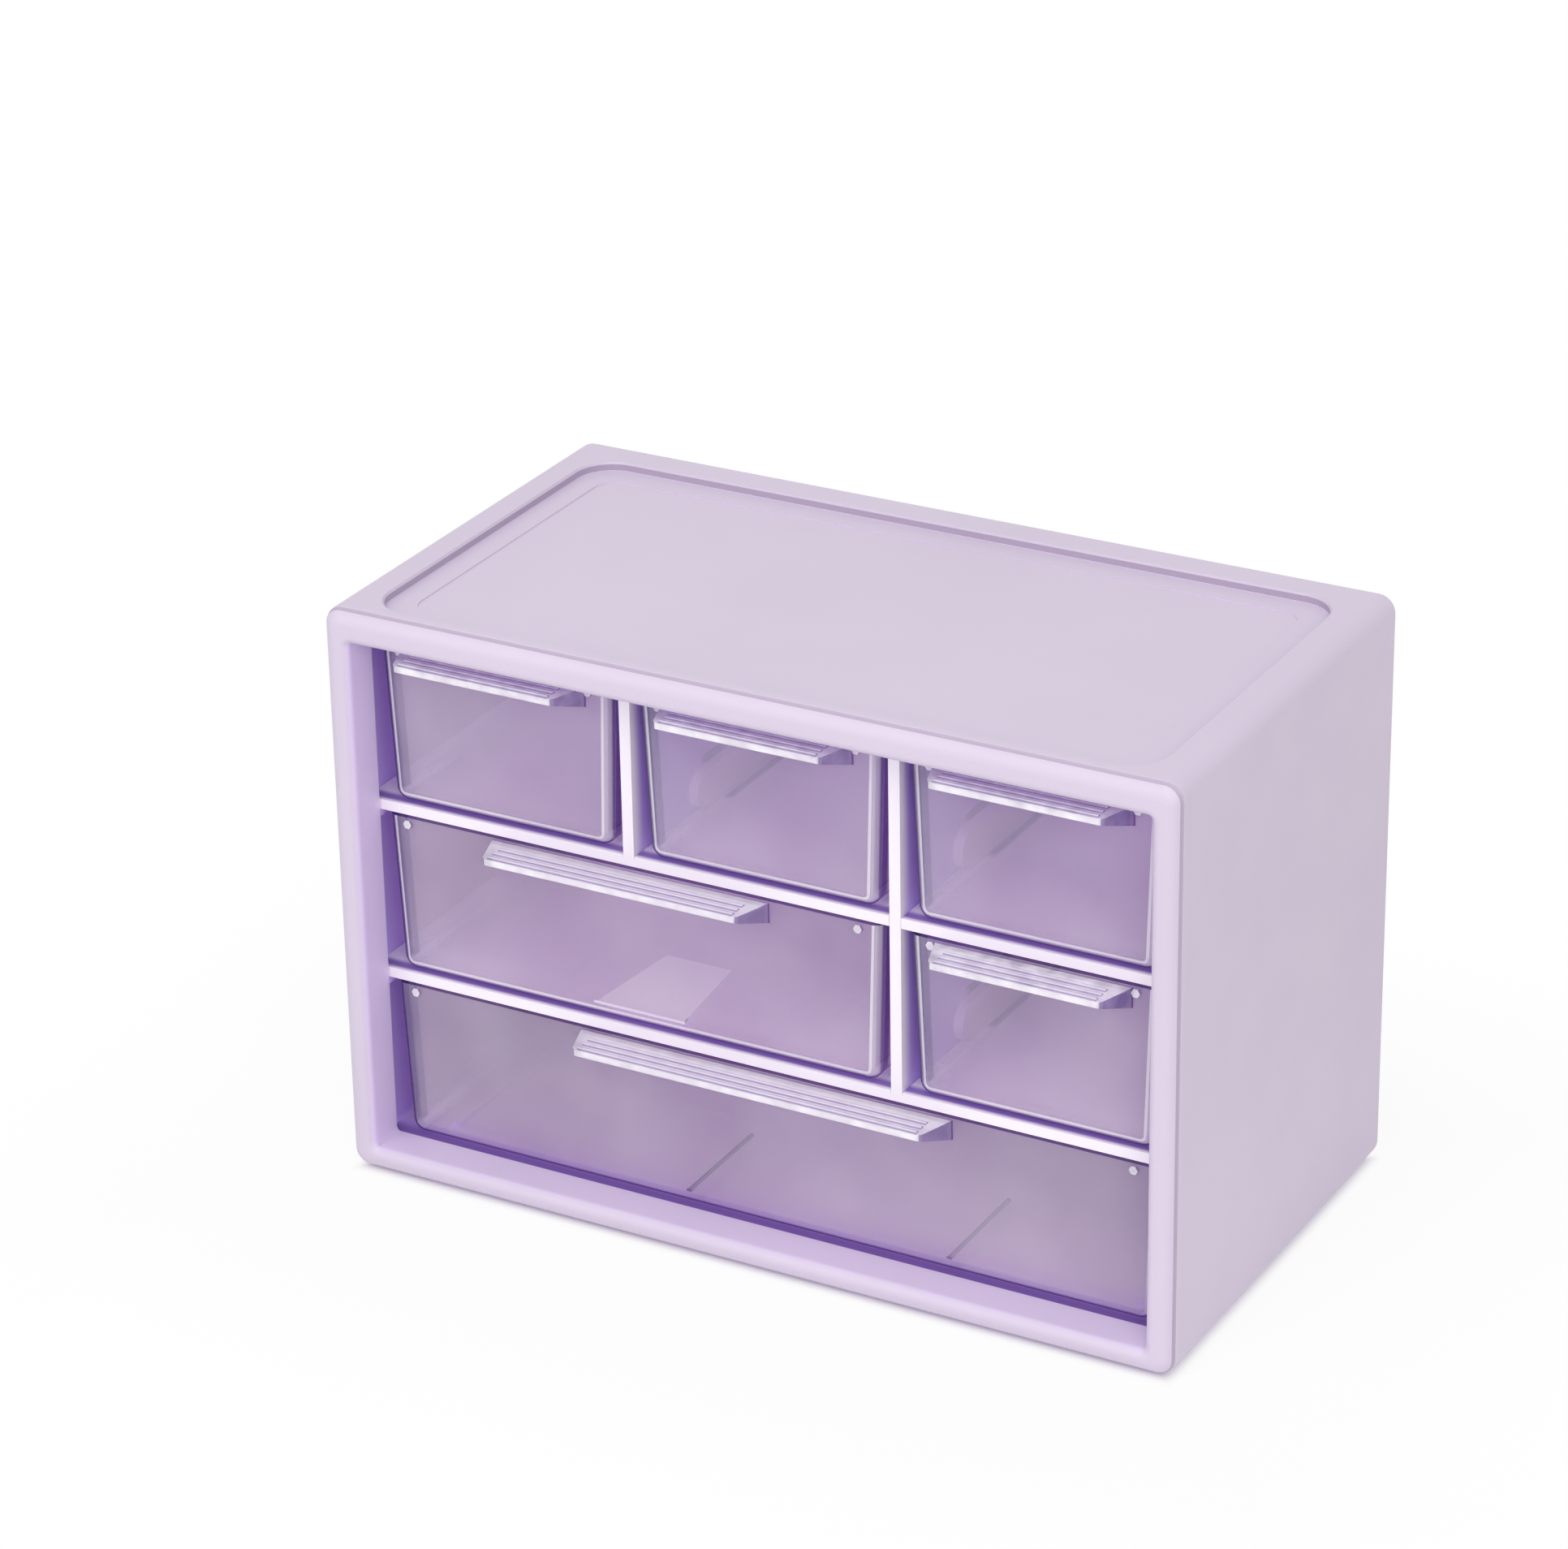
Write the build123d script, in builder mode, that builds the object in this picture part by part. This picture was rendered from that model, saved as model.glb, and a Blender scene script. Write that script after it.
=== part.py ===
from build123d import *
from math import radians, tan
import os

os.makedirs("parts", exist_ok=True)

# A desktop cabinet with six clear drawers. Millimetres, +Z up, front towards -Y,
# origin on the table under the middle of the cabinet.

# Cabinet outside
width = 185.0
depth = 100.0
height = 125.0
wall = 2.6
long_edge_radius = 3.8
front_round = 3.2
back_round = 1.5

# Recess in the top
recess_side_margin = 8.2
recess_back_margin = 7.8
recess_front_margin = 5.0
recess_radius = 8.0
recess_depth = 1.8
recess_lip_bevel = 0.4
panel_margin = 5.5
panel_step = 0.3
panel_radius = 5.0
roof = 2.4

# Underside
foot_height = 0.8
foot_width = 2.4
stacking_gap = 0.5
base_floor = 2.4

# Front frame
frame_side = 5.7
frame_bottom = 5.85
frame_top = 6.9
frame_flange = 2.0
frame_depth = 9.0
frame_sill = 1.2
opening_radius = 1.0
opening_round = 1.8
seam_chamfer = 0.4
plug_gap = 0.1

# Rows and columns
rows = 3
columns = 3
top_headroom = 1.65
shelf_thickness = 2.2
divider_thickness = 2.4
groove_depth = 0.6
groove_gap = 0.1
end_gap = 0.2

# Back panel
back_thickness = 2.2
back_inset = 0.4
back_step = 0.8
back_step_margin = 9.0
back_step_radius = 4.0

# Runners and guides inside the cabinet
fin_thickness = 1.6
runner_width = 2.0
runner_spacing = 156.0
runner_setback = 8.0
rail_height = 8.4
rail_thickness = 2.0
rail_setback = 31.0

# Drawers
drawer_wall = 1.6
drawer_side_draft = 2.2
drawer_front_draft = 1.0
drawer_side_gap = 1.7
drawer_base_gap = 0.2
drawer_top_gap = 0.7
drawer_back_gap = 0.4
drawer_side_round = 3.0
drawer_front_round = 2.2
drawer_back_bevel = 1.2

# Pulls on the drawer fronts
pull_small = 36.0
pull_wide = 57.0
pull_full = 77.5
pull_flare = 3.0
pull_setback = 0.7
pull_plate = 1.1
pull_lip = 1.3
pull_tip_height = 1.3
pull_root_height = 4.3
pull_corner = 1.5
rib_count = 3
rib_radius = 0.8
rib_pitch = 2.0
rib_rise = 0.35
rib_setback = 0.95
rib_end_margin = 1.0
nub_inset = 6.6
nub_drop = 1.2
nub_radius = 0.95
nub_sides = 6
nub_height = 0.7

# Moulded marks on the drawer floors
pad_front_width = 20.0
pad_back_width = 15.0
pad_length = 24.0
pad_rise = 0.5
floor_rib_left = -19.0
floor_rib_right = 39.5
floor_rib_width = 0.8
floor_rib_length = 26.0
floor_rib_rise = 0.6

# Planes and levels worked out from the sizes above
front = -depth / 2
back = depth / 2
seam = front + frame_flange
collar_end = front + frame_depth
grid_front = collar_end + end_gap
grid_back = back - back_inset - back_thickness - end_gap
grid_middle = (grid_front + grid_back) / 2
grid_length = grid_back - grid_front
cavity_half = width / 2 - wall
cavity_floor = frame_bottom - frame_sill
cavity_roof = height - recess_depth - panel_step - roof
cavity_height = cavity_roof - cavity_floor
cavity_middle = (cavity_floor + cavity_roof) / 2
cavity_radius = long_edge_radius - wall
plug_width = 2 * (cavity_half - plug_gap)
plug_height = cavity_height - 2 * plug_gap
base_underside = cavity_floor - base_floor
recess_width = width - 2 * recess_side_margin
recess_length = depth - recess_front_margin - recess_back_margin
recess_middle = (recess_front_margin - recess_back_margin) / 2
foot_outline_width = recess_width - 2 * stacking_gap
foot_outline_length = recess_length - 2 * stacking_gap
foot_radius = recess_radius - stacking_gap
opening_half = width / 2 - frame_side
fin_place = (cavity_half + opening_half) / 2
opening_top = height - frame_top
column_width = (2 * opening_half - (columns - 1) * divider_thickness) / columns
column_pitch = column_width + divider_thickness
row_pitch = (opening_top - top_headroom + shelf_thickness - frame_bottom) / rows
bottom_floor = frame_bottom
middle_floor = bottom_floor + row_pitch
top_floor = middle_floor + row_pitch
row_height = row_pitch - shelf_thickness
left_place = -column_pitch / 2
right_place = column_pitch / 2
groove_width = divider_thickness + 2 * groove_gap
drawer_height = row_height - drawer_base_gap - drawer_top_gap
front_lean = drawer_height * tan(radians(drawer_front_draft))
drawer_front = grid_front
drawer_back = grid_back - drawer_back_gap
tray_floor_front = drawer_front + front_lean + drawer_wall


def column_left(column):
    return -opening_half + column * column_pitch


def column_right(column):
    return column_left(column) + column_width


# Outside form of the closed cabinet, shared by the shell and the front frame
with BuildPart() as outside_form:
    with BuildSketch(Plane.XZ.offset(-front)):
        with Locations((0, (height + foot_height) / 2)):
            RectangleRounded(width, height - foot_height, long_edge_radius)
    extrude(amount=-depth)
    fillet(outside_form.faces().sort_by(Axis.Y)[0].edges(), front_round)
    fillet(outside_form.faces().sort_by(Axis.Y)[-1].edges(), back_round)

# Sleeve of the cabinet: top with its recess, sides and base
with BuildPart() as body_shell:
    add(outside_form.part)
    split(bisect_by=Plane.XZ.offset(-seam), keep=Keep.BOTTOM)
    chamfer(body_shell.faces().sort_by(Axis.Y)[0].edges(), seam_chamfer)

    # cavity, open at the front and the back
    with BuildSketch(Plane.XZ.offset(-seam)):
        with Locations((0, cavity_middle)):
            RectangleRounded(2 * cavity_half, cavity_height, cavity_radius)
    extrude(amount=-depth, mode=Mode.SUBTRACT)

    # recess in the top, with a lower panel inside a flat border
    with BuildSketch(Plane.XY.offset(height)):
        with Locations((0, recess_middle)):
            RectangleRounded(recess_width, recess_length, recess_radius)
    extrude(amount=-recess_depth, mode=Mode.SUBTRACT)
    chamfer(body_shell.faces().sort_by(Axis.Z)[-1].inner_wires()[0].edges(), recess_lip_bevel)
    with BuildSketch(Plane.XY.offset(height - recess_depth)):
        with Locations((0, recess_middle)):
            RectangleRounded(
                recess_width - 2 * panel_margin, recess_length - 2 * panel_margin, panel_radius
            )
    extrude(amount=-panel_step, mode=Mode.SUBTRACT)

    # hollow underside with a foot ring that fits the recess of a box below
    with BuildSketch(Plane.XY.offset(foot_height)):
        with Locations((0, (seam + back) / 2)):
            RectangleRounded(2 * cavity_half, back - seam - 2 * wall, long_edge_radius)
    extrude(amount=base_underside - foot_height, mode=Mode.SUBTRACT)
    with BuildSketch(Plane.XY):
        with Locations((0, recess_middle)):
            RectangleRounded(foot_outline_width, foot_outline_length, foot_radius)
            RectangleRounded(
                foot_outline_width - 2 * foot_width,
                foot_outline_length - 2 * foot_width,
                foot_radius - foot_width,
                mode=Mode.SUBTRACT,
            )
    extrude(amount=base_underside)

    # side fins that carry the shelves and guide the drawer rims
    for side in (-1, 1):
        with BuildSketch(Plane.XZ.offset(-grid_front)):
            for floor in (bottom_floor, middle_floor, top_floor):
                with Locations((side * fin_place, floor + row_height - fin_thickness / 2)):
                    Rectangle(cavity_half - opening_half, fin_thickness)
        extrude(amount=-grid_length)

    # runners under the bottom drawer
    with BuildSketch(Plane.XY.offset(cavity_floor)):
        for place in (-runner_spacing / 2, runner_spacing / 2):
            with Locations((place, grid_middle + runner_setback / 2)):
                Rectangle(runner_width, grid_length - runner_setback)
    extrude(amount=frame_sill)

    # grooves in the roof for the upper edges of the dividers
    with BuildSketch(Plane.XY.offset(cavity_roof)):
        for place in (left_place, right_place):
            with Locations((place, grid_middle)):
                Rectangle(groove_width, grid_length)
    extrude(amount=groove_depth, mode=Mode.SUBTRACT)

# Rounded frame round the front, with a collar inside the sleeve
with BuildPart() as front_frame:
    add(outside_form.part)
    split(bisect_by=Plane.XZ.offset(-seam), keep=Keep.TOP)
    chamfer(front_frame.faces().sort_by(Axis.Y)[-1].edges(), seam_chamfer)
    with BuildSketch(Plane.XZ.offset(-seam)):
        with Locations((0, cavity_middle)):
            RectangleRounded(plug_width, plug_height, cavity_radius)
    extrude(amount=-(frame_depth - frame_flange))
    with BuildSketch(Plane.XZ.offset(-front)):
        with Locations((0, (frame_bottom + opening_top) / 2)):
            RectangleRounded(2 * opening_half, opening_top - frame_bottom, opening_radius)
    extrude(amount=-frame_depth, mode=Mode.SUBTRACT)
    fillet(front_frame.faces().sort_by(Axis.Y)[0].inner_wires()[0].edges(), opening_round)

# Panel that closes the back, dished inside a flat border
with BuildPart() as back_panel:
    with BuildSketch(Plane.XZ.offset(-(back - back_inset))):
        with Locations((0, cavity_middle)):
            RectangleRounded(plug_width, plug_height, cavity_radius)
    extrude(amount=back_thickness)
    with BuildSketch(Plane.XZ.offset(-(back - back_inset))):
        with Locations((0, cavity_middle)):
            RectangleRounded(
                plug_width - 2 * back_step_margin,
                plug_height - 2 * back_step_margin,
                back_step_radius,
            )
    extrude(amount=back_step, mode=Mode.SUBTRACT)

# Upper shelf: slotted from the front for the right divider, grooved for the left one
with BuildPart() as upper_shelf:
    with BuildSketch(Plane.XY.offset(top_floor)):
        with Locations((0, grid_middle)):
            Rectangle(plug_width, grid_length)
        with Locations((right_place, (grid_front + grid_middle) / 2)):
            Rectangle(groove_width, grid_middle - grid_front, mode=Mode.SUBTRACT)
    extrude(amount=-shelf_thickness)
    with BuildSketch(Plane.XY.offset(top_floor)):
        with Locations((left_place, grid_middle)):
            Rectangle(groove_width, grid_length)
    extrude(amount=-groove_depth, mode=Mode.SUBTRACT)

# Lower shelf: grooved for the foot of the right divider
with BuildPart() as lower_shelf:
    with BuildSketch(Plane.XY.offset(middle_floor)):
        with Locations((0, grid_middle)):
            Rectangle(plug_width, grid_length)
    extrude(amount=-shelf_thickness)
    with BuildSketch(Plane.XY.offset(middle_floor)):
        with Locations((right_place, grid_middle)):
            Rectangle(groove_width, grid_length)
    extrude(amount=-groove_depth, mode=Mode.SUBTRACT)


def make_divider(place, floors):
    """An upright panel from the lowest floor to the roof, with a guide rail above each floor."""
    foot = floors[0] - groove_depth
    head = cavity_roof + groove_depth
    rail_nose = front + rail_setback
    rail_start = rail_nose + rail_height / 2
    with BuildPart() as divider:
        with BuildSketch(Plane.YZ.offset(place - divider_thickness / 2)):
            with Locations((grid_middle, (foot + head) / 2)):
                Rectangle(grid_length, head - foot)
        extrude(amount=divider_thickness)
        with BuildSketch(Plane.YZ.offset(place - divider_thickness / 2 - rail_thickness)):
            for floor in floors:
                rail_top = floor + rail_height
                with BuildLine():
                    Polyline(
                        (rail_start, floor),
                        (grid_back, floor),
                        (grid_back, rail_top),
                        (rail_start, rail_top),
                    )
                    ThreePointArc(
                        (rail_start, rail_top),
                        (rail_nose, floor + rail_height / 2),
                        (rail_start, floor),
                    )
                make_face()
        extrude(amount=divider_thickness + 2 * rail_thickness)
    return divider.part


# Left divider of the top row
with BuildPart() as left_divider:
    add(make_divider(left_place, [top_floor]))

# Right divider of the top and middle rows, slotted from the back over the upper shelf
with BuildPart() as right_divider:
    add(make_divider(right_place, [middle_floor, top_floor]))
    with BuildSketch(Plane.YZ.offset(right_place)):
        with Locations(((grid_middle + grid_back) / 2, top_floor - shelf_thickness / 2)):
            Rectangle(grid_back - grid_middle, shelf_thickness + 2 * groove_gap)
    extrude(amount=divider_thickness / 2 + rail_thickness, both=True, mode=Mode.SUBTRACT)


def make_block(rim_width, rim_length, block_height, side_round):
    """A block that narrows downwards by the drawer's drafts, rounded along its lower sides."""
    flank = 90 + drawer_side_draft
    face = 90 + drawer_front_draft
    with BuildPart() as block:
        with BuildSketch(Plane.XZ):
            Trapezoid(rim_width, block_height, flank, align=(Align.CENTER, Align.MIN))
            fillet(vertices().group_by(Axis.Y)[0], side_round)
        extrude(amount=rim_length / 2, both=True)
        with BuildSketch(Plane.YZ):
            Trapezoid(rim_length, block_height, face, align=(Align.CENTER, Align.MIN))
        extrude(amount=rim_width / 2, both=True, mode=Mode.INTERSECT)
    return block.part


def make_drawer(left, right, floor, pull_front):
    """A drafted tray between two walls, with a hooded, ribbed pull on its front."""
    centre = (left + right) / 2
    middle = (drawer_front + drawer_back) / 2
    base = floor + drawer_base_gap
    rim = base + drawer_height
    rim_width = right - left - 2 * drawer_side_gap
    rim_length = drawer_back - drawer_front
    outside = make_block(rim_width, rim_length, drawer_height, drawer_side_round)
    hollow = make_block(
        rim_width - 2 * drawer_wall,
        rim_length - 2 * drawer_wall,
        drawer_height - drawer_wall,
        drawer_side_round - drawer_wall,
    )
    pull_root = pull_front + 2 * pull_flare
    tip = front + pull_setback
    top = rim - rib_rise
    with BuildPart() as drawer:
        # tray with leaning sides, a rounded front edge and a bevelled back edge
        with Locations((centre, middle, base)):
            add(outside)
        fillet(drawer.faces().sort_by(Axis.Y)[0].edges().sort_by(Axis.Z)[:-1], drawer_front_round)
        chamfer(drawer.faces().sort_by(Axis.Y)[-1].edges().sort_by(Axis.Z)[:-1], drawer_back_bevel)
        with Locations((centre, middle, base + drawer_wall)):
            add(hollow, mode=Mode.SUBTRACT)

        # hood of the pull, wider where it meets the front, with a sloping underside
        with BuildSketch(Plane.XY.offset(top)):
            with BuildLine():
                Polyline(
                    (centre - pull_root / 2, drawer_front + drawer_wall / 2),
                    (centre - pull_front / 2, tip),
                    (centre + pull_front / 2, tip),
                    (centre + pull_root / 2, drawer_front + drawer_wall / 2),
                    close=True,
                )
            make_face()
            fillet(vertices().group_by(Axis.Y)[0], pull_corner)
        extrude(amount=-pull_root_height)
        with BuildSketch(Plane.YZ.offset(centre)):
            with BuildLine():
                Polyline(
                    (tip, top - pull_tip_height),
                    (drawer_front, top - pull_root_height),
                    (tip, top - pull_root_height),
                    close=True,
                )
            make_face()
        extrude(amount=pull_root / 2, both=True, mode=Mode.SUBTRACT)

        # finger hollow under the hood
        with BuildSketch(Plane.XY.offset(top - pull_plate)):
            with BuildLine():
                Polyline(
                    (centre - pull_root / 2 + pull_lip, drawer_front),
                    (centre - pull_front / 2 + pull_lip, tip + pull_lip),
                    (centre + pull_front / 2 - pull_lip, tip + pull_lip),
                    (centre + pull_root / 2 - pull_lip, drawer_front),
                    close=True,
                )
            make_face()
        extrude(amount=-pull_root_height, mode=Mode.SUBTRACT)

        # grip ribs along the top of the hood
        with BuildSketch(Plane.YZ.offset(centre)):
            for rib in range(rib_count):
                with Locations((tip + rib_setback + rib * rib_pitch, rim - rib_radius)):
                    Circle(rib_radius)
        extrude(amount=pull_front / 2 - rib_end_margin, both=True)

        # a nub near each upper corner of the front
        with BuildSketch(Plane.XZ.offset(-(drawer_front + drawer_wall / 2))):
            for place in (left + nub_inset, right - nub_inset):
                with Locations((place, rim - nub_drop)):
                    RegularPolygon(nub_radius, nub_sides)
        extrude(amount=drawer_wall / 2 + nub_height)
    return drawer.part


# Small drawers
with BuildPart() as top_left_drawer:
    add(make_drawer(column_left(0), column_right(0), top_floor, pull_small))
with BuildPart() as top_middle_drawer:
    add(make_drawer(column_left(1), column_right(1), top_floor, pull_small))
with BuildPart() as top_right_drawer:
    add(make_drawer(column_left(2), column_right(2), top_floor, pull_small))
with BuildPart() as middle_small_drawer:
    add(make_drawer(column_left(2), column_right(2), middle_floor, pull_small))

# Wide drawer of the middle row, with a raised pad on its floor
with BuildPart() as middle_wide_drawer:
    add(make_drawer(column_left(0), column_right(1), middle_floor, pull_wide))
    wide_centre = (column_left(0) + column_right(1)) / 2
    with BuildSketch(Plane.XY.offset(middle_floor + drawer_base_gap + drawer_wall / 2)):
        with BuildLine():
            Polyline(
                (wide_centre - pad_front_width / 2, tray_floor_front),
                (wide_centre + pad_front_width / 2, tray_floor_front),
                (wide_centre + pad_back_width / 2, tray_floor_front + pad_length),
                (wide_centre - pad_back_width / 2, tray_floor_front + pad_length),
                close=True,
            )
        make_face()
    extrude(amount=drawer_wall / 2 + pad_rise)

# Full-width bottom drawer, with two low ribs on its floor
with BuildPart() as bottom_drawer:
    add(make_drawer(column_left(0), column_right(2), bottom_floor, pull_full))
    with BuildSketch(Plane.XY.offset(bottom_floor + drawer_base_gap + drawer_wall / 2)):
        for place in (floor_rib_left, floor_rib_right):
            with Locations((place, tray_floor_front + floor_rib_length / 2)):
                Rectangle(floor_rib_width, floor_rib_length)
    extrude(amount=drawer_wall / 2 + floor_rib_rise)

pieces = {
    "body_shell": body_shell,
    "front_frame": front_frame,
    "back_panel": back_panel,
    "upper_shelf": upper_shelf,
    "lower_shelf": lower_shelf,
    "left_divider": left_divider,
    "right_divider": right_divider,
    "top_left_drawer": top_left_drawer,
    "top_middle_drawer": top_middle_drawer,
    "top_right_drawer": top_right_drawer,
    "middle_wide_drawer": middle_wide_drawer,
    "middle_small_drawer": middle_small_drawer,
    "bottom_drawer": bottom_drawer,
}
for name, piece in pieces.items():
    piece.part.label = name
    export_step(piece.part, f"parts/{name}.step")
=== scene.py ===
"""Looks of the mini desktop drawer box: lilac plastic with clear drawers, in white studio light."""

from functools import reduce
from math import cos, radians, sin

import bpy
from mathutils import Matrix, Vector

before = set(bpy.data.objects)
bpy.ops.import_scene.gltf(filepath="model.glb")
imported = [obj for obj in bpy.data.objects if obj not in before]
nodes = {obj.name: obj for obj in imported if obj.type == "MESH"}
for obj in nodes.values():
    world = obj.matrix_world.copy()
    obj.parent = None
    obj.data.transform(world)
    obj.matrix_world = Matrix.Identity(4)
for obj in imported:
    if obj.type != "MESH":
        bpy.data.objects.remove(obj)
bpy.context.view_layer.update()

LILAC_NODES = ("body_shell", "front_frame", "back_panel")
PALE_NODES = ("upper_shelf", "lower_shelf", "left_divider", "right_divider")
SMALL_DRAWER_NODES = (
    "top_left_drawer",
    "top_middle_drawer",
    "top_right_drawer",
    "middle_small_drawer",
)
WIDE_DRAWER_NODES = ("middle_wide_drawer",)
BOTTOM_DRAWER_NODES = ("bottom_drawer",)

# Camera of the photograph: degrees, metres and millimetres of lens
VIEW_AZIMUTH = 29.367
VIEW_ELEVATION = 25.042
VIEW_ROLL = -1.049
VIEW_DISTANCE = 1.0828
VIEW_TARGET = Vector((-0.02033, 0.0055, 0.0811))
LENS = 123.83
CLIP_START = 0.05

# Studio: name, place, target, size and watts of each lamp, strength of the world, and the floor
LAMPS = (
    ("key", (-0.7, -1.5, 0.75), (0.0, 0.0, 0.06), 1.0, 3.0),
    ("top", (0.0, -0.8, 1.5), (0.0, 0.0, 0.1), 1.2, 10.5),
    ("right", (1.1, -1.2, 0.8), (0.0, 0.0, 0.06), 0.9, 7.0),
)
WORLD_STRENGTH = 0.50
WHITE = (1.0, 1.0, 1.0)
FLOOR_SIZE = 30.0
FLOOR_PAINT = (0.92, 0.92, 0.92)
# Half of the box's width and depth, and how the floor turns white with the distance from it
FOOTPRINT = (0.0925, 0.05)
CONTACT_BAND = (-0.004, 0.001)
CONTACT_SHARE = (0.0, 0.9)
SHADOW_BAND = (0.0, 0.12)
SHADOW_SHARE = (0.0, 0.1)
# Clear faces that one ray may pass
CLEAR_FACES = 32

# Lilac plastic, linear colours
LILAC = (0.70, 0.61, 0.76)
PALE_LILAC = (0.96, 0.90, 0.98)
MOTTLING = (0.97, 1.02)
# Share of lamp light that passes one face of a side wall, and of a level wall of shell or insert
SIDE_GLOW = (0.25, 0.15, 0.38)
SHELL_GLOW = (0.82, 0.71, 0.89)
INSERT_GLOW = (0.85, 0.77, 0.89)
# Painted shade in creases, in the gaps and in slits, and painted light inside the opening
# painted shade in the creases of the recess and the seam
CREASE_SHADE_LILAC = (0.45, 0.37, 0.50)
# painted shade in the gaps beside the drawer fronts
GAP_SHADE_LILAC = (0.66, 0.49, 0.98)
# painted light, lighter and more violet, on the inner faces of the frame opening
OPENING_LIGHT_LILAC = (0.82, 0.68, 0.95)
# painted shade in the slits and beside the rails
SLIT_SHADE_VIOLET = (0.28, 0.17, 0.52)
# Its finish
LILAC_IOR = 1.5
SHELL_ROUGHNESS = 0.42
INSERT_ROUGHNESS = 0.38
ROUGHNESS_REACH = 0.05
SPARK_STRENGTH = 0.25
SPARK_DEPTH = 0.00003

# Clear plastic: tint straight through, tint edge on that also carries painted shade, and lamp light
# that passes a face
CLEAR_TINT = (0.97, 0.955, 0.985)
EDGE_SHADE_TINT = (0.33, 0.21, 0.52)
SHADE_TINT = (0.93, 0.87, 0.94)
SIDE_SHADE = (0.22, 0.12, 0.45)
# Its milkiness and painted highlights: colours of the milk, of the painted highlights and of the
# violet painted shade, then shares on the fronts, inside, painted highlight along the rounds, on the
# bright line, on small and long pulls and on their lips, and what the violet leaves of it
MILKY_LILAC = (0.91, 0.84, 0.94)
HIGHLIGHT_WHITE = (0.97, 0.95, 0.99)
MILKY_SHADE_VIOLET = (0.58, 0.42, 0.82)
FRONT_HAZE = (0.09, 0.20)
INNER_HAZE = 0.08
ROUND_HIGHLIGHT_SHARE = 0.35
HIGHLIGHT_LINE_SHARE = 0.60
SMALL_PULL_HIGHLIGHT = (0.45, 0.85)
LONG_PULL_HIGHLIGHT = (0.56, 0.68)
LIP_HIGHLIGHT = (0.45, 0.85)
VIOLET_HAZE = (1.0, 0.3)
# Its violet parts, painted shade: shares on the grooves and ends of the pulls, behind the fronts and
# on the rims
GROOVE_SHARE = (0.0, 0.7)
STRIP_SHARE = (0.0, 0.85)
RIM_SHARE = (0.0, 0.7)
# Share of the painted highlight line round the front of the bottom drawer
BOTTOM_HIGHLIGHT_LINE = 0.2
# Its finish
CLEAR_IOR = 1.49
MILK_ROUGHNESS = (0.05, 0.12)
POLISH_ROUGHNESS = (0.03, 0.09)
SHINE_POWER = 5.0
SHINE = (0.04, 0.9)

# Noise textures: features per metre and detail, and the band that most of their values lie in
FLOW_NOISE = (14.0, 3.0)
GLOSS_NOISE = (60.0, 2.0)
SPARK_NOISE = (2600.0, 1.0)
HAZE_NOISE = (25.0, 3.0)
LIP_HIGHLIGHT_NOISE = (180.0, 1.0)
PULL_HIGHLIGHT_NOISE = (260.0, 1.0)
POLISH_NOISE = (45.0, 2.0)
NOISE_BAND = (0.3, 0.7)

# Bands of the normal's size along an axis, from 0 to 1: faces along that axis, roughly or closely
FACES = (0.5, 0.9)
PULL_END_FACES = (0.6, 0.9)
FRONT_FACES = (0.7, 0.95)
FLAT_FACES = (0.8, 0.95)
# Bands of the turn away from all axes: painted highlight line, rounded edges, bevels and grooves
HIGHLIGHT_LINE_TURN = (0.0008, 0.003)
ROUND_TURN = (0.03, 0.06)
BEVEL_TURN = (0.09, 0.15)
GROOVE_TURN = (0.12, 0.2)
# Bands of Layer Weight's facing, 1 where a face is seen edge on
ROUND_FACING = (0.35, 0.65)
EDGE_FACING = (0.7, 0.95)

# Places in metres, with the front at negative Y. A box is middle and reach on each axis. A pair is
# middle and reach on one axis, or for a fade the places with none and with all of the shade.
RECESS = ((0.0, 0.0855), (-0.0014, 0.0442), (0.1247, 0.0014))
SEAM = (-0.048, 0.0005)
SEAM_SHARE = (0.0, 0.75)
OPENING_SIDE = (0.0883, 0.0868)
OPENING_END = -0.0409
SILL = (0.00585, 0.0003)
SILL_SHARE = (0.0, 0.5)
CAVITY = ((0.0, 0.0905), (0.0, 0.0409), (0.062, 0.0577))
CAVITY_FLOOR = ((0.0, 0.0905), (0.0, 0.0409), (0.00465, 0.0003))
GAP_BAND = (-0.024, -0.031)
LEVEL_SHIFT = (0.0, 0.006)
FLOOR_SLIT_BAND = (-0.034, -0.038)
SHELF_SLIT_FRONT = (-0.0406, -0.0394)
SHELF_SLIT_BACK = (-0.0365, -0.0385)
# Dividers, without their rails
DIVIDER_MIDDLE = 0.02933
DIVIDER_HALF = 0.0015
DIVIDER_FRONT = (-0.0402, -0.0365)
DIVIDER_SHARE = (0.85, 1.0)
# Painted shadows of the rails: on the shelves beside the foot, and on the dividers round each row's
# rail
FOOT_INNER = (0.0030, 0.0036)
FOOT_OUTER = (0.0054, 0.0046)
FOOT_FRONT = (-0.0105, -0.0070)
RAIL_ROWS = ((0.04865, 0.0052), (0.08625, 0.0052))
RAIL_FRONT = (-0.0150, -0.0115)
BETWEEN_SHELVES = 0.06
# Drawers: pulls stand in front of the first depth, rounded front edges end at the second
PULL_START = -0.0412
FRONT_END = -0.0384
STRIP_BAND = (-0.0358, -0.0368)
ROUND_HIGHLIGHT_BAND = (-0.005, FRONT_END)
SIDE_SHADE_BAND = (-0.031, FRONT_END)
RIMS = ((0.04055, 0.0003), (0.07815, 0.0003), (0.11575, 0.0003))
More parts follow.
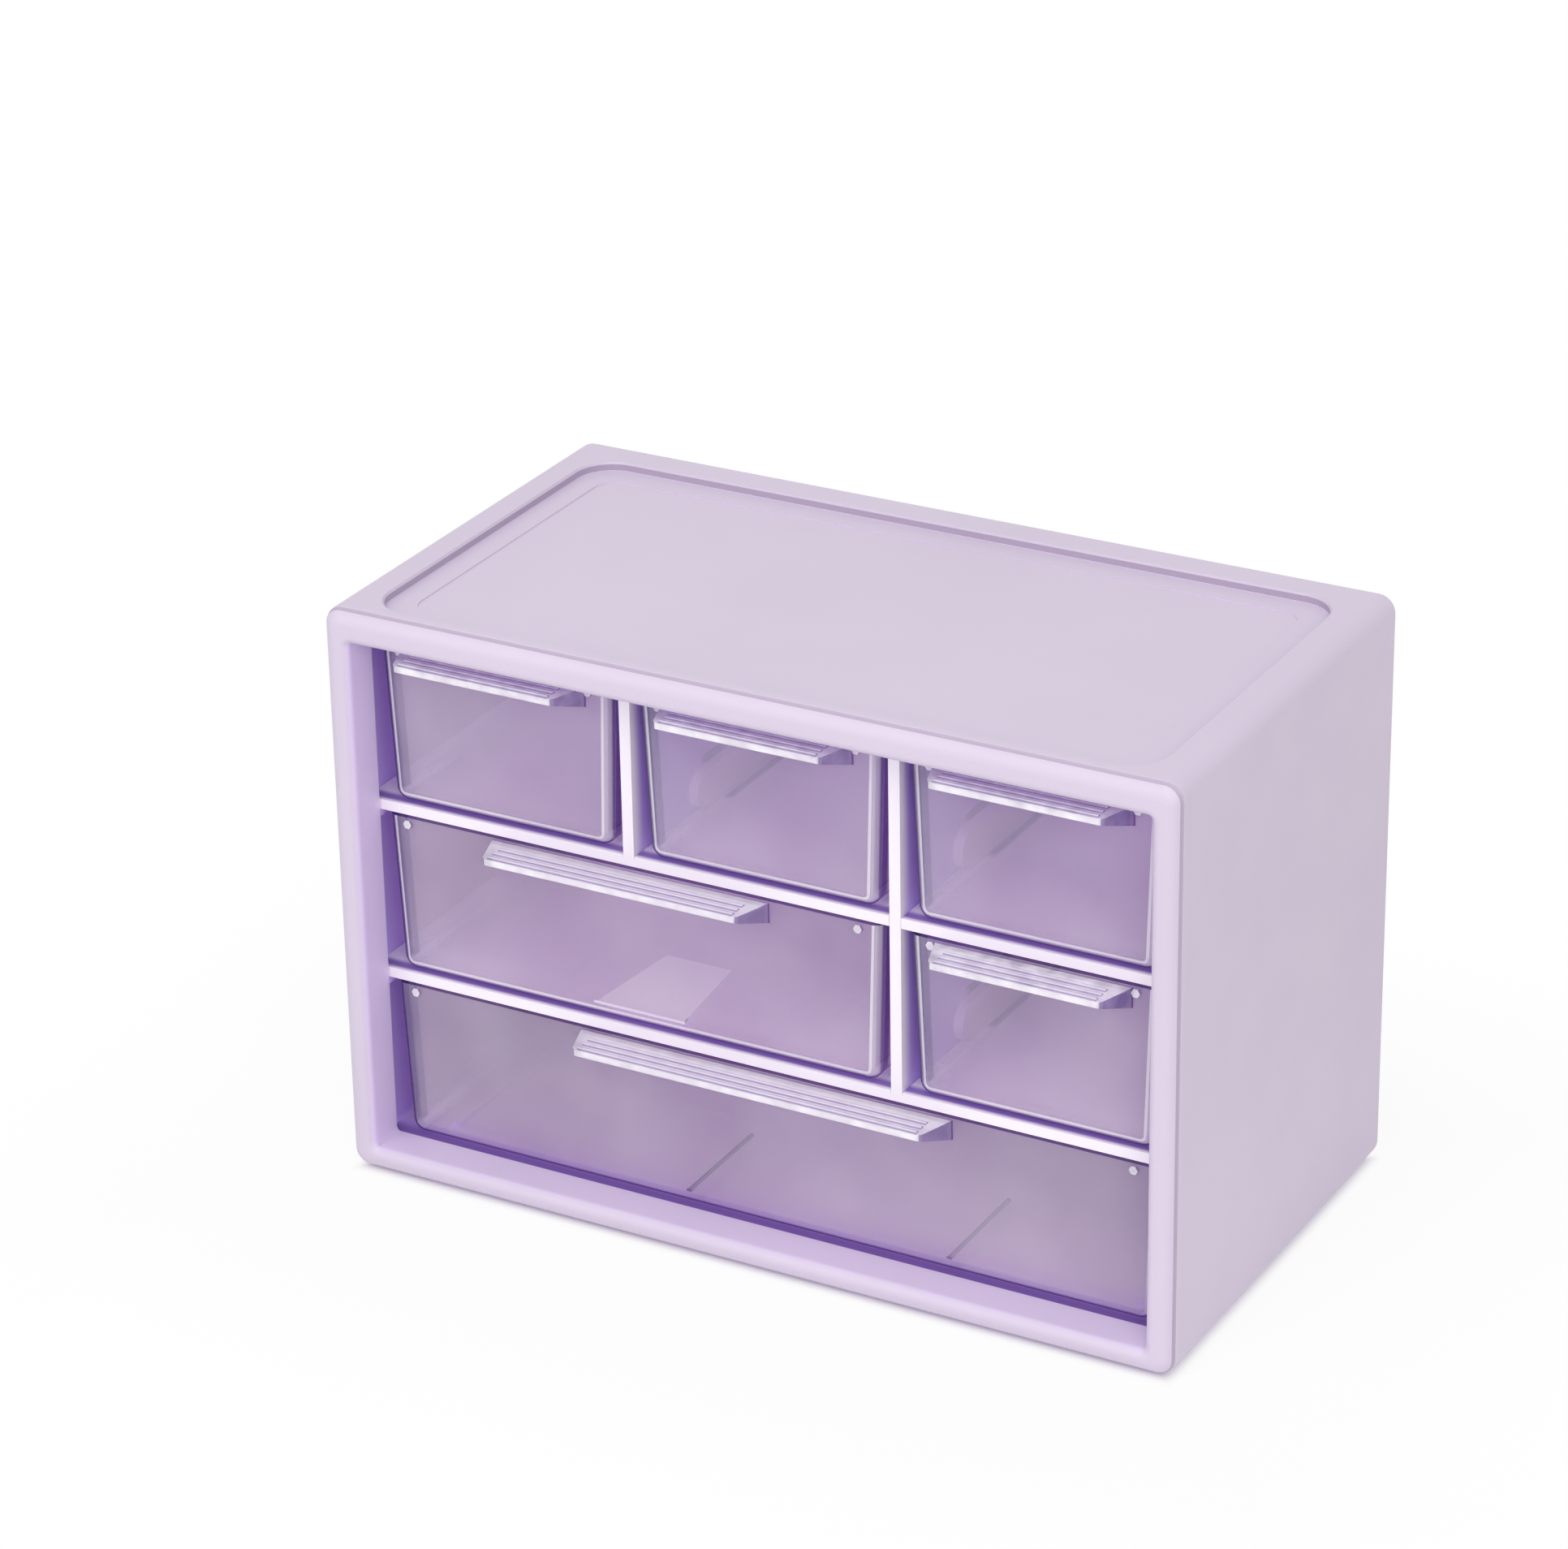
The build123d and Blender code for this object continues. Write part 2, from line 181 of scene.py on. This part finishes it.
# painted pool of light on the wide drawer's floor
WIDE_LIGHT_POOLS = (((-0.0293, 0.0104), (-0.0266, 0.0122), (0.04575, 0.0003)),)
BOTTOM_RIBS = (
    ((-0.019, 0.0006), (-0.0255, 0.0135), (0.0081, 0.0003)),
    ((0.0395, 0.0006), (-0.0255, 0.0135), (0.0081, 0.0003)),
)


def new_material(name):
    """An empty node material, its tree and its output node."""
    material = bpy.data.materials.new(name)
    material.use_nodes = True
    tree = material.node_tree
    tree.nodes.clear()
    return material, tree, tree.nodes.new("ShaderNodeOutputMaterial")


def noise(tree, scale, detail):
    """A noise texture in the part's own frame; scale is in features per metre."""
    place = tree.nodes.new("ShaderNodeTexCoord")
    texture = tree.nodes.new("ShaderNodeTexNoise")
    texture.inputs["Scale"].default_value = scale
    texture.inputs["Detail"].default_value = detail
    tree.links.new(place.outputs["Object"], texture.inputs["Vector"])
    return texture.outputs["Fac"]


def maths(tree, operation, *values):
    """A Math node: each value is a number or a socket that feeds it."""
    node = tree.nodes.new("ShaderNodeMath")
    node.operation = operation
    for socket, value in zip(node.inputs, values):
        if isinstance(value, float):
            socket.default_value = value
        else:
            tree.links.new(value, socket)
    return node.outputs["Value"]


def all_of(tree, *masks):
    """Product of masks."""
    return reduce(lambda first, second: maths(tree, "MULTIPLY", first, second), masks)


def any_of(tree, *masks):
    """Largest of masks."""
    return reduce(lambda first, second: maths(tree, "MAXIMUM", first, second), masks)


def remapped(tree, value, source, target):
    """A Map Range node from one range to another, and its result."""
    node = tree.nodes.new("ShaderNodeMapRange")
    node.inputs["From Min"].default_value, node.inputs["From Max"].default_value = source
    node.inputs["To Min"].default_value, node.inputs["To Max"].default_value = target
    tree.links.new(value, node.inputs["Value"])
    return node, node.outputs["Result"]


def spread(tree, texture, ends):
    """Maps a noise texture's usual band to a range."""
    return remapped(tree, noise(tree, *texture), NOISE_BAND, ends)[1]


def scaled(tree, value, ends):
    """Maps 0..1 to a range."""
    return remapped(tree, value, (0.0, 1.0), ends)[1]


def step(tree, value, band):
    """Rises smoothly from 0 at the band's first end to 1 at its second."""
    node, result = remapped(tree, value, band, (0.0, 1.0))
    node.interpolation_type = "SMOOTHSTEP"
    return result


def blend(tree, factor, first, second):
    """Mixes two colours; the first may be a socket."""
    node = tree.nodes.new("ShaderNodeMix")
    node.data_type = "RGBA"
    if isinstance(first, tuple):
        node.inputs["A"].default_value = (*first, 1.0)
    else:
        tree.links.new(first, node.inputs["A"])
    node.inputs["B"].default_value = (*second, 1.0)
    tree.links.new(factor, node.inputs["Factor"])
    return node.outputs["Result"]


def layered(tree, factor, first, second):
    """Mixes two shaders."""
    node = tree.nodes.new("ShaderNodeMixShader")
    tree.links.new(factor, node.inputs["Fac"])
    tree.links.new(first, node.inputs[1])
    tree.links.new(second, node.inputs[2])
    return node.outputs["Shader"]


def spot(tree):
    """Place in the part's own frame, by axis."""
    node = tree.nodes.new("ShaderNodeSeparateXYZ")
    place = tree.nodes.new("ShaderNodeTexCoord").outputs["Object"]
    tree.links.new(place, node.inputs["Vector"])
    return node.outputs


def normal_sizes(tree):
    """How far the surface faces along each axis of the part, front and back alike."""
    size = tree.nodes.new("ShaderNodeVectorMath")
    size.operation = "ABSOLUTE"
    normal = tree.nodes.new("ShaderNodeTexCoord").outputs["Normal"]
    tree.links.new(normal, size.inputs[0])
    sides = tree.nodes.new("ShaderNodeSeparateXYZ")
    tree.links.new(size.outputs["Vector"], sides.inputs["Vector"])
    return sides.outputs


def turn(tree, sides):
    """0 on faces square to an axis, more on rounds and bevels."""
    most = any_of(tree, sides["X"], sides["Y"], sides["Z"])
    return maths(tree, "SUBTRACT", 1.0, most)


def within(tree, place, box):
    """1 inside a box, given as middle and reach on each axis."""
    spans = zip("XYZ", box)
    return all_of(tree, *(maths(tree, "COMPARE", place[axis], *span) for axis, span in spans))


def crease_shade(tree, place, sides):
    """Painted shade on the walls of the recess and on the bevels at the seam."""
    upright = maths(tree, "SUBTRACT", 1.0, sides["Z"])
    walls = all_of(tree, within(tree, place, RECESS), upright)
    seam = maths(tree, "COMPARE", place["Y"], *SEAM)
    bevel = scaled(tree, step(tree, turn(tree, sides), BEVEL_TURN), SEAM_SHARE)
    return any_of(tree, walls, all_of(tree, seam, bevel))


def opening_light(tree, place, sides):
    """Inner faces of the front frame, lightened with painted light; the sill takes only part of it.
    """
    across = step(tree, maths(tree, "ABSOLUTE", place["X"]), OPENING_SIDE)
    across = all_of(tree, across, step(tree, sides["X"], FACES))
    level = scaled(tree, step(tree, sides["Z"], FACES), SILL_SHARE)
    sill = all_of(tree, maths(tree, "COMPARE", place["Z"], *SILL), level)
    ahead = maths(tree, "LESS_THAN", place["Y"], OPENING_END)
    return all_of(tree, any_of(tree, across, sill), ahead)


def shell_gap_shade(tree, place, sides):
    """Painted shade on the shell's inner walls by the drawer fronts, less on its floor and roof."""
    depth = maths(tree, "ADD", place["Y"], scaled(tree, sides["Z"], LEVEL_SHIFT))
    return all_of(tree, within(tree, place, CAVITY), step(tree, depth, GAP_BAND))


def floor_slit_shade(tree, place, sides):
    """Painted shade on the floor of the shell just behind the sill of the frame."""
    floor = all_of(tree, within(tree, place, CAVITY_FLOOR), step(tree, sides["Z"], FACES))
    return all_of(tree, floor, step(tree, place["Y"], FLOOR_SLIT_BAND))


def divider_distance(tree, place):
    """Distance to either side of the middle of a divider."""
    off = maths(tree, "SUBTRACT", maths(tree, "ABSOLUTE", place["X"]), DIVIDER_MIDDLE)
    return maths(tree, "ABSOLUTE", off)


def divider_walls(tree, place, sides):
    """Sides of the dividers without their rails."""
    wall = maths(tree, "LESS_THAN", divider_distance(tree, place), DIVIDER_HALF)
    return all_of(tree, wall, step(tree, sides["X"], FACES))


def divider_gap_shade(tree, place, sides):
    """Painted shade on the sides of the dividers, most of all next to the drawer fronts."""
    behind = step(tree, place["Y"], DIVIDER_FRONT)
    near = scaled(tree, step(tree, place["Y"], GAP_BAND), DIVIDER_SHARE)
    return all_of(tree, divider_walls(tree, place, sides), behind, near)


def rail_shadows(tree, place, sides):
    """Painted shadow on the shelf beside the foot of each rail, and on the divider just above and in
    front of the rail.
    """
    distance = divider_distance(tree, place)
    beside = all_of(tree, step(tree, distance, FOOT_INNER), step(tree, distance, FOOT_OUTER))
    level = step(tree, sides["Z"], FACES)
    # the lower shelf carries no left divider
    right = maths(tree, "GREATER_THAN", place["X"], 0.0)
    upper = maths(tree, "GREATER_THAN", place["Z"], BETWEEN_SHELVES)
    carried = any_of(tree, right, upper)
    foot = all_of(tree, beside, level, step(tree, place["Y"], FOOT_FRONT), carried)
    rows = any_of(tree, *(maths(tree, "COMPARE", place["Z"], *row) for row in RAIL_ROWS))
    behind = step(tree, place["Y"], RAIL_FRONT)
    return any_of(tree, foot, all_of(tree, divider_walls(tree, place, sides), rows, behind))


def shelf_slit_shade(tree, place, sides):
    """Painted shade on top of the shelves where the drawer fronts stand on them."""
    front, back = step(tree, place["Y"], SHELF_SLIT_FRONT), step(tree, place["Y"], SHELF_SLIT_BACK)
    return all_of(tree, front, step(tree, sides["Z"], FACES), back)


# painted shade on the shell, and painted light inside its opening
SHELL_SHADES = (
    (crease_shade, CREASE_SHADE_LILAC),
    (opening_light, OPENING_LIGHT_LILAC),
    (shell_gap_shade, GAP_SHADE_LILAC),
    (floor_slit_shade, SLIT_SHADE_VIOLET),
)
# painted shade on the inserts
INSERT_SHADES = (
    (divider_gap_shade, GAP_SHADE_LILAC),
    (rail_shadows, SLIT_SHADE_VIOLET),
    (shelf_slit_shade, SLIT_SHADE_VIOLET),
)


def moulded_plastic(name, colour, roughness, through, shades):
    """Satin plastic with flow mottling, uneven gloss, spark texture and painted light and shade, thin
    enough to pass light.
    """
    material, tree, output = new_material(name)
    place, sides = spot(tree), normal_sizes(tree)
    shader = tree.nodes.new("ShaderNodeBsdfPrincipled")
    shader.inputs["IOR"].default_value = LILAC_IOR
    darker, lighter = (tuple(min(share * c, 1.0) for c in colour) for share in MOTTLING)
    tone = blend(tree, spread(tree, FLOW_NOISE, (0.0, 1.0)), darker, lighter)
    # painted light and shade laid over the plastic's own tone
    for mask, shade in shades:
        tone = blend(tree, mask(tree, place, sides), tone, shade)
    tree.links.new(tone, shader.inputs["Base Color"])
    ends = (roughness - ROUGHNESS_REACH, roughness + ROUGHNESS_REACH)
    tree.links.new(spread(tree, GLOSS_NOISE, ends), shader.inputs["Roughness"])
    bump = tree.nodes.new("ShaderNodeBump")
    bump.inputs["Strength"].default_value = SPARK_STRENGTH
    bump.inputs["Distance"].default_value = SPARK_DEPTH
    tree.links.new(noise(tree, *SPARK_NOISE), bump.inputs["Height"])
    tree.links.new(bump.outputs["Normal"], shader.inputs["Normal"])

    # lamp light that gets through
    glow = tree.nodes.new("ShaderNodeBsdfTransparent")
    tree.links.new(blend(tree, sides["Z"], SIDE_GLOW, through), glow.inputs["Color"])
    rays = tree.nodes.new("ShaderNodeLightPath").outputs
    passed = layered(tree, rays["Is Shadow Ray"], shader.outputs["BSDF"], glow.outputs["BSDF"])
    tree.links.new(passed, output.inputs["Surface"])
    return material


def clear_plastic(name, pull_highlight, light_pools=(), ribs=(), highlight_line=1.0):
    """Clear lilac plastic, slightly milky, with painted highlights on the pulls and as a bright line,
    and violet edges, partly deeper tint and partly painted shade.
    """
    material, tree, output = new_material(name)
    facing = tree.nodes.new("ShaderNodeLayerWeight").outputs["Facing"]
    place, sides = spot(tree), normal_sizes(tree)
    turned = turn(tree, sides)
    pull = maths(tree, "LESS_THAN", place["Y"], PULL_START)
    front = maths(tree, "SUBTRACT", maths(tree, "LESS_THAN", place["Y"], FRONT_END), pull)
    rounded = step(tree, turned, ROUND_TURN)

    # violet: the plastic's tint deeper where seen edge on, and painted shade on rounded front edges,
    # grooves and ends of the pulls, side walls just behind the front, floor ribs and rims
    edge = all_of(tree, front, rounded, step(tree, facing, ROUND_FACING))
    violet_shade = any_of(tree, edge, step(tree, facing, EDGE_FACING))
    groove = all_of(tree, pull, step(tree, turned, GROOVE_TURN))
    end = all_of(tree, pull, step(tree, sides["X"], PULL_END_FACES))
    grooves = scaled(tree, any_of(tree, groove, end), GROOVE_SHARE)
    strip = all_of(tree, step(tree, sides["X"], FLAT_FACES), step(tree, place["Y"], STRIP_BAND))
    strip = scaled(tree, maths(tree, "SUBTRACT", strip, pull), STRIP_SHARE)
    violet_shade = any_of(tree, violet_shade, grooves, strip, *(within(tree, place, rib) for rib in ribs))
    level = scaled(tree, step(tree, sides["Z"], FLAT_FACES), RIM_SHARE)
    for rim in RIMS:
        top = all_of(tree, level, maths(tree, "COMPARE", place["Z"], *rim))
        violet_shade = any_of(tree, violet_shade, maths(tree, "SUBTRACT", top, pull))

    # milkiness of the plates and inside, and painted highlight: a bright line where the front turns
    # into its edge, the pulls, their lips, streaks along the rounds, and painted pools of light
    glint = maths(tree, "SUBTRACT", step(tree, turned, HIGHLIGHT_LINE_TURN), rounded)
    glint = all_of(tree, any_of(tree, glint, 0.0), front, highlight_line)
    # white where highlights and pools of light are painted
    white = any_of(tree, glint, pull)
    upright = step(tree, sides["Y"], FRONT_FACES)
    plate = all_of(tree, upright, spread(tree, HAZE_NOISE, FRONT_HAZE))
    # painted highlight on the lips of the pulls, broken up by noise
    lip_glint = all_of(tree, pull, step(tree, sides["Y"], FLAT_FACES), spread(tree, LIP_HIGHLIGHT_NOISE, LIP_HIGHLIGHT))
    # painted highlight in streaks along the rounds
    round_highlight = all_of(tree, rounded, step(tree, place["Y"], ROUND_HIGHLIGHT_BAND), ROUND_HIGHLIGHT_SHARE)
    # painted highlight on the pulls, broken up by noise
    pull_glint = all_of(tree, pull, spread(tree, PULL_HIGHLIGHT_NOISE, pull_highlight))
    glint_haze = all_of(tree, glint, HIGHLIGHT_LINE_SHARE)
    haze = any_of(tree, plate, INNER_HAZE, glint_haze, pull_glint, lip_glint, round_highlight)
    # painted pools of light, white and milky
    for light_pool in light_pools:
        patch = within(tree, place, light_pool)
        white, haze = any_of(tree, white, patch), any_of(tree, haze, patch)
    haze = all_of(tree, haze, scaled(tree, violet_shade, VIOLET_HAZE))

    film = tree.nodes.new("ShaderNodeBsdfTransparent")
    tree.links.new(blend(tree, violet_shade, CLEAR_TINT, EDGE_SHADE_TINT), film.inputs["Color"])
    milk = tree.nodes.new("ShaderNodeBsdfPrincipled")
    milk.inputs["IOR"].default_value = CLEAR_IOR
    cloud = blend(tree, violet_shade, blend(tree, white, MILKY_LILAC, HIGHLIGHT_WHITE), MILKY_SHADE_VIOLET)
    tree.links.new(cloud, milk.inputs["Base Color"])
    tree.links.new(spread(tree, POLISH_NOISE, MILK_ROUGHNESS), milk.inputs["Roughness"])
    polish = tree.nodes.new("ShaderNodeBsdfGlossy")
    tree.links.new(spread(tree, POLISH_NOISE, POLISH_ROUGHNESS), polish.inputs["Roughness"])
    shine = scaled(tree, maths(tree, "POWER", facing, SHINE_POWER), SHINE)
    body = layered(tree, haze, film.outputs["BSDF"], milk.outputs["BSDF"])
    seen = layered(tree, shine, body, polish.outputs["BSDF"])

    # lamp light that gets through, least of all by the side walls behind the front
    shade = tree.nodes.new("ShaderNodeBsdfTransparent")
    walls = all_of(tree, step(tree, sides["X"], FACES), step(tree, place["Y"], SIDE_SHADE_BAND))
    dim = any_of(tree, walls, violet_shade)
    tree.links.new(blend(tree, dim, SHADE_TINT, SIDE_SHADE), shade.inputs["Color"])
    rays = tree.nodes.new("ShaderNodeLightPath").outputs
    passed = layered(tree, rays["Is Shadow Ray"], seen, shade.outputs["BSDF"])
    bounced = layered(tree, haze, shade.outputs["BSDF"], milk.outputs["BSDF"])
    passed = layered(tree, rays["Is Diffuse Ray"], passed, bounced)
    tree.links.new(passed, output.inputs["Surface"])
    return material


def dress(names, material):
    """Gives nodes a material."""
    for name in names:
        mesh = nodes[name].data
        mesh.materials.clear()
        mesh.materials.append(material)


def seen_rays(tree):
    """1 for rays that show the backdrop: straight to the camera, mirrored or through glass."""
    rays = tree.nodes.new("ShaderNodeLightPath").outputs
    return any_of(tree, rays["Is Camera Ray"], rays["Is Glossy Ray"], rays["Is Transmission Ray"])


def studio_floor():
    """White floor: seen as white, with the soft shadow that the box throws near it."""
    bpy.ops.mesh.primitive_plane_add(size=FLOOR_SIZE)
    floor = bpy.context.object
    floor.name = "studio_floor"
    material, tree, output = new_material("studio_floor")
    paint = tree.nodes.new("ShaderNodeBsdfDiffuse")
    paint.inputs["Color"].default_value = (*FLOOR_PAINT, 1.0)
    glow = tree.nodes.new("ShaderNodeEmission")
    place = spot(tree)
    away = any_of(tree, *(
        maths(tree, "SUBTRACT", maths(tree, "ABSOLUTE", place[axis]), half)
        for axis, half in zip("XY", FOOTPRINT)
    ))
    contact = scaled(tree, step(tree, away, CONTACT_BAND), CONTACT_SHARE)
    shadow = scaled(tree, step(tree, away, SHADOW_BAND), SHADOW_SHARE)
    share = all_of(tree, seen_rays(tree), maths(tree, "ADD", contact, shadow))
    mixed = layered(tree, share, paint.outputs["BSDF"], glow.outputs["Emission"])
    tree.links.new(mixed, output.inputs["Surface"])
    floor.data.materials.append(material)


def studio_world():
    """Soft white light from all round, seen as plain white."""
    world = bpy.data.worlds.new("studio")
    bpy.context.scene.world = world
    world.use_nodes = True
    tree = world.node_tree
    tree.nodes.clear()
    output = tree.nodes.new("ShaderNodeOutputWorld")
    light = tree.nodes.new("ShaderNodeBackground")
    backdrop = tree.nodes.new("ShaderNodeBackground")
    for background in (light, backdrop):
        background.inputs["Color"].default_value = (*WHITE, 1.0)
    light.inputs["Strength"].default_value = WORLD_STRENGTH
    sky, white = light.outputs["Background"], backdrop.outputs["Background"]
    tree.links.new(layered(tree, seen_rays(tree), sky, white), output.inputs["Surface"])


def softbox(name, place, target, size, power):
    """A square area lamp that faces a point."""
    lamp = bpy.data.lights.new(name, "AREA")
    lamp.shape = "SQUARE"
    lamp.size = size
    lamp.energy = power
    lamp_object = bpy.data.objects.new(name, lamp)
    lamp_object.location = place
    aim = Vector(target) - Vector(place)
    lamp_object.rotation_euler = aim.to_track_quat("-Z", "Y").to_euler()
    bpy.context.scene.collection.objects.link(lamp_object)


def photo_camera():
    """The photograph's camera, from its turn, height, roll and distance round the target."""
    azimuth, rise, roll = radians(VIEW_AZIMUTH), radians(VIEW_ELEVATION), radians(VIEW_ROLL)
    back = Vector((sin(azimuth) * cos(rise), -cos(azimuth) * cos(rise), sin(rise)))
    right = Vector((0.0, 0.0, 1.0)).cross(back).normalized()
    up = back.cross(right)
    rolled_right = cos(roll) * right + sin(roll) * up
    rolled_up = cos(roll) * up - sin(roll) * right
    camera = bpy.data.cameras.new("camera")
    camera.lens = LENS
    camera.clip_start = CLIP_START
    camera_object = bpy.data.objects.new("camera", camera)
    pose = Matrix((rolled_right, rolled_up, back)).transposed().to_4x4()
    pose.translation = VIEW_TARGET + VIEW_DISTANCE * back
    camera_object.matrix_world = pose
    bpy.context.scene.collection.objects.link(camera_object)
    bpy.context.scene.camera = camera_object


shell = moulded_plastic("lilac_shell", LILAC, SHELL_ROUGHNESS, SHELL_GLOW, SHELL_SHADES)
inserts = moulded_plastic("pale_inserts", PALE_LILAC, INSERT_ROUGHNESS, INSERT_GLOW, INSERT_SHADES)
dress(LILAC_NODES, shell)
dress(PALE_NODES, inserts)
small = clear_plastic("clear_drawers", SMALL_PULL_HIGHLIGHT)
wide = clear_plastic("clear_wide_drawer", LONG_PULL_HIGHLIGHT, light_pools=WIDE_LIGHT_POOLS)
bottom = clear_plastic("clear_bottom_drawer", LONG_PULL_HIGHLIGHT, ribs=BOTTOM_RIBS, highlight_line=BOTTOM_HIGHLIGHT_LINE)
dress(SMALL_DRAWER_NODES, small)
dress(WIDE_DRAWER_NODES, wide)
dress(BOTTOM_DRAWER_NODES, bottom)

studio_floor()
studio_world()
for lamp in LAMPS:
    softbox(*lamp)
photo_camera()
bpy.context.scene.view_settings.view_transform = "Standard"
bpy.context.scene.cycles.transparent_max_bounces = CLEAR_FACES
